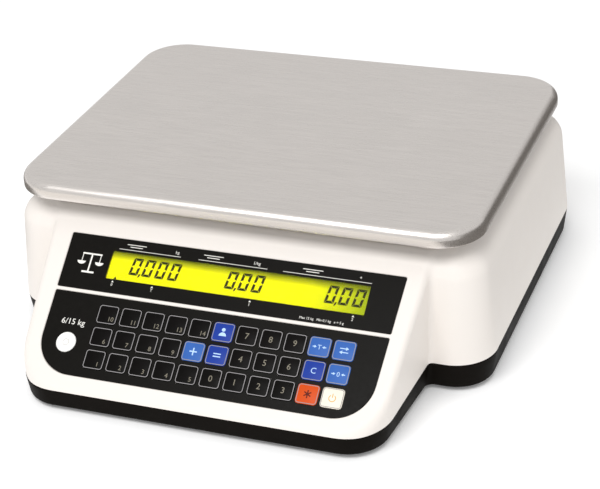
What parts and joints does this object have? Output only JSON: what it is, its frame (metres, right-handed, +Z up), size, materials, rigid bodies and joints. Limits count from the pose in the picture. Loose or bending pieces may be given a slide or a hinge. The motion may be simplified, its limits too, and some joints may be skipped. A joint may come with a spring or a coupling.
{
  "type": "retail bench scale",
  "caption": "Low bench scale with a flat stainless platter, a sloping operator console with a wide yellow display and short-travel keys, a customer display at the back and screw feet.",
  "frame": {"origin": "middle of the footprint of the housing, on the surface that the feet stand on", "axes": "+X to the operator's right, +Y away from the operator towards the customer side, +Z up"},
  "size_m": [0.345, 0.3472, 0.1182],
  "materials": {
    "cover_white": "fine moulded texture, warm white",
    "base_black": "moulded, near black",
    "platter_steel": "satin stainless, bright rolled edge",
    "cast_aluminium": "as cast",
    "cell_aluminium": "machined",
    "spacer_steel": "zinc plated",
    "panel_film": "printed film, black",
    "window_clear": "clear, thin",
    "level_white": "white bubble level under a clear lens",
    "lcd_yellow": "yellow backlit liquid crystal",
    "circuit_board": "green solder mask",
    "window_smoked": "smoked clear plastic",
    "inlet_black": "moulded",
    "battery_grey": "moulded case",
    "transformer_core": "varnished laminations",
    "foot_rubber": "ribbed",
    "foot_black": "moulded gripping wheel on a steel stud",
    "key_black": "printed, light outline",
    "key_blue": "printed",
    "key_light_blue": "printed",
    "key_orange": "printed",
    "key_white": "printed"
  },
  "bodies": {
    "housing": {"top_cover": "cover_white", "base_cover": "base_black", "display_panel": "panel_film", "keypad_panel": "panel_film", "display_window": "window_clear", "spirit_level": "level_white", "front_lcd": "lcd_yellow", "rear_lcd": "lcd_yellow", "key_board": "circuit_board", "main_board": "circuit_board", "rear_window": "window_smoked", "power_inlet": "inlet_black", "battery": "battery_grey", "power_transformer": "transformer_core", "load_cell": "cell_aluminium", "cell_base_spacer": "spacer_steel"},
    "weighing_spider": {"platter_support": "cast_aluminium", "cell_top_spacer": "spacer_steel"},
    "platter": {"platter": "platter_steel"},
    "foot_pad_front_left": {"foot_pad_front_left": "foot_rubber"},
    "foot_screw_front_left": {"foot_screw_front_left": "foot_black"},
    "foot_pad_front_right": {"foot_pad_front_right": "foot_rubber"},
    "foot_screw_front_right": {"foot_screw_front_right": "foot_black"},
    "foot_pad_rear_left": {"foot_pad_rear_left": "foot_rubber"},
    "foot_screw_rear_left": {"foot_screw_rear_left": "foot_black"},
    "foot_pad_rear_right": {"foot_pad_rear_right": "foot_rubber"},
    "foot_screw_rear_right": {"foot_screw_rear_right": "foot_black"},
    "key_preset_10": {"key_preset_10": "key_black"},
    "key_preset_11": {"key_preset_11": "key_black"},
    "key_preset_12": {"key_preset_12": "key_black"},
    "key_preset_13": {"key_preset_13": "key_black"},
    "key_preset_14": {"key_preset_14": "key_black"},
    "key_user": {"key_user": "key_blue"},
    "key_digit_7": {"key_digit_7": "key_black"},
    "key_digit_8": {"key_digit_8": "key_black"},
    "key_digit_9": {"key_digit_9": "key_black"},
    "key_tare": {"key_tare": "key_light_blue"},
    "key_change": {"key_change": "key_light_blue"},
    "key_preset_6": {"key_preset_6": "key_black"},
    "key_preset_7": {"key_preset_7": "key_black"},
    "key_preset_8": {"key_preset_8": "key_black"},
    "key_preset_9": {"key_preset_9": "key_black"},
    "key_add": {"key_add": "key_light_blue"},
    "key_fixed_price": {"key_fixed_price": "key_blue"},
    "key_digit_4": {"key_digit_4": "key_black"},
    "key_digit_5": {"key_digit_5": "key_black"},
    "key_digit_6": {"key_digit_6": "key_black"},
    "key_clear": {"key_clear": "key_blue"},
    "key_zero": {"key_zero": "key_light_blue"},
    "key_preset_1": {"key_preset_1": "key_black"},
    "key_preset_2": {"key_preset_2": "key_black"},
    "key_preset_3": {"key_preset_3": "key_black"},
    "key_preset_4": {"key_preset_4": "key_black"},
    "key_preset_5": {"key_preset_5": "key_black"},
    "key_digit_0": {"key_digit_0": "key_black"},
    "key_digit_1": {"key_digit_1": "key_black"},
    "key_digit_2": {"key_digit_2": "key_black"},
    "key_digit_3": {"key_digit_3": "key_black"},
    "key_total": {"key_total": "key_orange"},
    "key_on_off": {"key_on_off": "key_white"}
  },
  "joints": [
    {"name": "weigh_flexure", "type": "slide", "parent": "housing", "child": "weighing_spider", "axis": [0, 0, 1], "range_m": [-0.0005, 0], "stiffness_N_per_m": 300000, "springref_m": 0.0001, "deforming": ["load_cell"]},
    {"name": "platter_lift", "type": "slide", "parent": "weighing_spider", "child": "platter", "axis": [0, 0, 1], "range_m": [0, 0.06]},
    {"name": "foot_front_left_turn", "type": "hinge", "parent": "foot_pad_front_left", "child": "foot_screw_front_left", "pos_m": [-0.105, -0.145, 0.0054], "axis": [0, 0, -1], "range_deg": [0, 1730]},
    {"name": "foot_front_right_turn", "type": "hinge", "parent": "foot_pad_front_right", "child": "foot_screw_front_right", "pos_m": [0.105, -0.145, 0.0054], "axis": [0, 0, -1], "range_deg": [0, 1730]},
    {"name": "foot_rear_left_turn", "type": "hinge", "parent": "foot_pad_rear_left", "child": "foot_screw_rear_left", "pos_m": [-0.142, 0.144, 0.0054], "axis": [0, 0, -1], "range_deg": [0, 1730]},
    {"name": "foot_rear_right_turn", "type": "hinge", "parent": "foot_pad_rear_right", "child": "foot_screw_rear_right", "pos_m": [0.142, 0.144, 0.0054], "axis": [0, 0, -1], "range_deg": [0, 1730]},
    {"name": "foot_front_left_height", "type": "slide", "parent": "housing", "child": "foot_pad_front_left", "axis": [0, 0, -1], "range_m": [0, 0.006]},
    {"name": "foot_front_right_height", "type": "slide", "parent": "housing", "child": "foot_pad_front_right", "axis": [0, 0, -1], "range_m": [0, 0.006]},
    {"name": "foot_rear_left_height", "type": "slide", "parent": "housing", "child": "foot_pad_rear_left", "axis": [0, 0, -1], "range_m": [0, 0.006]},
    {"name": "foot_rear_right_height", "type": "slide", "parent": "housing", "child": "foot_pad_rear_right", "axis": [0, 0, -1], "range_m": [0, 0.006]},
    {"name": "press_preset_10", "type": "slide", "parent": "housing", "child": "key_preset_10", "axis": [0, 0.6088, -0.7934], "range_m": [0, 0.0004], "stiffness_N_per_m": 5000, "springref_m": -0.0001},
    {"name": "press_preset_11", "type": "slide", "parent": "housing", "child": "key_preset_11", "axis": [0, 0.6088, -0.7934], "range_m": [0, 0.0004], "stiffness_N_per_m": 5000, "springref_m": -0.0001},
    {"name": "press_preset_12", "type": "slide", "parent": "housing", "child": "key_preset_12", "axis": [0, 0.6088, -0.7934], "range_m": [0, 0.0004], "stiffness_N_per_m": 5000, "springref_m": -0.0001},
    {"name": "press_preset_13", "type": "slide", "parent": "housing", "child": "key_preset_13", "axis": [0, 0.6088, -0.7934], "range_m": [0, 0.0004], "stiffness_N_per_m": 5000, "springref_m": -0.0001},
    {"name": "press_preset_14", "type": "slide", "parent": "housing", "child": "key_preset_14", "axis": [0, 0.6088, -0.7934], "range_m": [0, 0.0004], "stiffness_N_per_m": 5000, "springref_m": -0.0001},
    {"name": "press_user", "type": "slide", "parent": "housing", "child": "key_user", "axis": [0, 0.6088, -0.7934], "range_m": [0, 0.0004], "stiffness_N_per_m": 5000, "springref_m": -0.0001},
    {"name": "press_digit_7", "type": "slide", "parent": "housing", "child": "key_digit_7", "axis": [0, 0.6088, -0.7934], "range_m": [0, 0.0004], "stiffness_N_per_m": 5000, "springref_m": -0.0001},
    {"name": "press_digit_8", "type": "slide", "parent": "housing", "child": "key_digit_8", "axis": [0, 0.6088, -0.7934], "range_m": [0, 0.0004], "stiffness_N_per_m": 5000, "springref_m": -0.0001},
    {"name": "press_digit_9", "type": "slide", "parent": "housing", "child": "key_digit_9", "axis": [0, 0.6088, -0.7934], "range_m": [0, 0.0004], "stiffness_N_per_m": 5000, "springref_m": -0.0001},
    {"name": "press_tare", "type": "slide", "parent": "housing", "child": "key_tare", "axis": [0, 0.6088, -0.7934], "range_m": [0, 0.0004], "stiffness_N_per_m": 5000, "springref_m": -0.0001},
    {"name": "press_change", "type": "slide", "parent": "housing", "child": "key_change", "axis": [0, 0.6088, -0.7934], "range_m": [0, 0.0004], "stiffness_N_per_m": 5000, "springref_m": -0.0001},
    {"name": "press_preset_6", "type": "slide", "parent": "housing", "child": "key_preset_6", "axis": [0, 0.6088, -0.7934], "range_m": [0, 0.0004], "stiffness_N_per_m": 5000, "springref_m": -0.0001},
    {"name": "press_preset_7", "type": "slide", "parent": "housing", "child": "key_preset_7", "axis": [0, 0.6088, -0.7934], "range_m": [0, 0.0004], "stiffness_N_per_m": 5000, "springref_m": -0.0001},
    {"name": "press_preset_8", "type": "slide", "parent": "housing", "child": "key_preset_8", "axis": [0, 0.6088, -0.7934], "range_m": [0, 0.0004], "stiffness_N_per_m": 5000, "springref_m": -0.0001},
    {"name": "press_preset_9", "type": "slide", "parent": "housing", "child": "key_preset_9", "axis": [0, 0.6088, -0.7934], "range_m": [0, 0.0004], "stiffness_N_per_m": 5000, "springref_m": -0.0001},
    {"name": "press_add", "type": "slide", "parent": "housing", "child": "key_add", "axis": [0, 0.6088, -0.7934], "range_m": [0, 0.0004], "stiffness_N_per_m": 5000, "springref_m": -0.0001},
    {"name": "press_fixed_price", "type": "slide", "parent": "housing", "child": "key_fixed_price", "axis": [0, 0.6088, -0.7934], "range_m": [0, 0.0004], "stiffness_N_per_m": 5000, "springref_m": -0.0001},
    {"name": "press_digit_4", "type": "slide", "parent": "housing", "child": "key_digit_4", "axis": [0, 0.6088, -0.7934], "range_m": [0, 0.0004], "stiffness_N_per_m": 5000, "springref_m": -0.0001},
    {"name": "press_digit_5", "type": "slide", "parent": "housing", "child": "key_digit_5", "axis": [0, 0.6088, -0.7934], "range_m": [0, 0.0004], "stiffness_N_per_m": 5000, "springref_m": -0.0001},
    {"name": "press_digit_6", "type": "slide", "parent": "housing", "child": "key_digit_6", "axis": [0, 0.6088, -0.7934], "range_m": [0, 0.0004], "stiffness_N_per_m": 5000, "springref_m": -0.0001},
    {"name": "press_clear", "type": "slide", "parent": "housing", "child": "key_clear", "axis": [0, 0.6088, -0.7934], "range_m": [0, 0.0004], "stiffness_N_per_m": 5000, "springref_m": -0.0001},
    {"name": "press_zero", "type": "slide", "parent": "housing", "child": "key_zero", "axis": [0, 0.6088, -0.7934], "range_m": [0, 0.0004], "stiffness_N_per_m": 5000, "springref_m": -0.0001},
    {"name": "press_preset_1", "type": "slide", "parent": "housing", "child": "key_preset_1", "axis": [0, 0.6088, -0.7934], "range_m": [0, 0.0004], "stiffness_N_per_m": 5000, "springref_m": -0.0001},
    {"name": "press_preset_2", "type": "slide", "parent": "housing", "child": "key_preset_2", "axis": [0, 0.6088, -0.7934], "range_m": [0, 0.0004], "stiffness_N_per_m": 5000, "springref_m": -0.0001},
    {"name": "press_preset_3", "type": "slide", "parent": "housing", "child": "key_preset_3", "axis": [0, 0.6088, -0.7934], "range_m": [0, 0.0004], "stiffness_N_per_m": 5000, "springref_m": -0.0001},
    {"name": "press_preset_4", "type": "slide", "parent": "housing", "child": "key_preset_4", "axis": [0, 0.6088, -0.7934], "range_m": [0, 0.0004], "stiffness_N_per_m": 5000, "springref_m": -0.0001},
    {"name": "press_preset_5", "type": "slide", "parent": "housing", "child": "key_preset_5", "axis": [0, 0.6088, -0.7934], "range_m": [0, 0.0004], "stiffness_N_per_m": 5000, "springref_m": -0.0001},
    {"name": "press_digit_0", "type": "slide", "parent": "housing", "child": "key_digit_0", "axis": [0, 0.6088, -0.7934], "range_m": [0, 0.0004], "stiffness_N_per_m": 5000, "springref_m": -0.0001},
    {"name": "press_digit_1", "type": "slide", "parent": "housing", "child": "key_digit_1", "axis": [0, 0.6088, -0.7934], "range_m": [0, 0.0004], "stiffness_N_per_m": 5000, "springref_m": -0.0001},
    {"name": "press_digit_2", "type": "slide", "parent": "housing", "child": "key_digit_2", "axis": [0, 0.6088, -0.7934], "range_m": [0, 0.0004], "stiffness_N_per_m": 5000, "springref_m": -0.0001},
    {"name": "press_digit_3", "type": "slide", "parent": "housing", "child": "key_digit_3", "axis": [0, 0.6088, -0.7934], "range_m": [0, 0.0004], "stiffness_N_per_m": 5000, "springref_m": -0.0001},
    {"name": "press_total", "type": "slide", "parent": "housing", "child": "key_total", "axis": [0, 0.6088, -0.7934], "range_m": [0, 0.0004], "stiffness_N_per_m": 5000, "springref_m": -0.0001},
    {"name": "press_on_off", "type": "slide", "parent": "housing", "child": "key_on_off", "axis": [0, 0.6088, -0.7934], "range_m": [0, 0.0004], "stiffness_N_per_m": 5000, "springref_m": -0.0001}
  ],
  "couplings": [
    {"joint": "foot_front_left_turn", "follows": "foot_front_left_height", "rad_per_m": 5026.5},
    {"joint": "foot_front_right_turn", "follows": "foot_front_right_height", "rad_per_m": 5026.5},
    {"joint": "foot_rear_left_turn", "follows": "foot_rear_left_height", "rad_per_m": 5026.5},
    {"joint": "foot_rear_right_turn", "follows": "foot_rear_right_height", "rad_per_m": 5026.5}
  ]
}
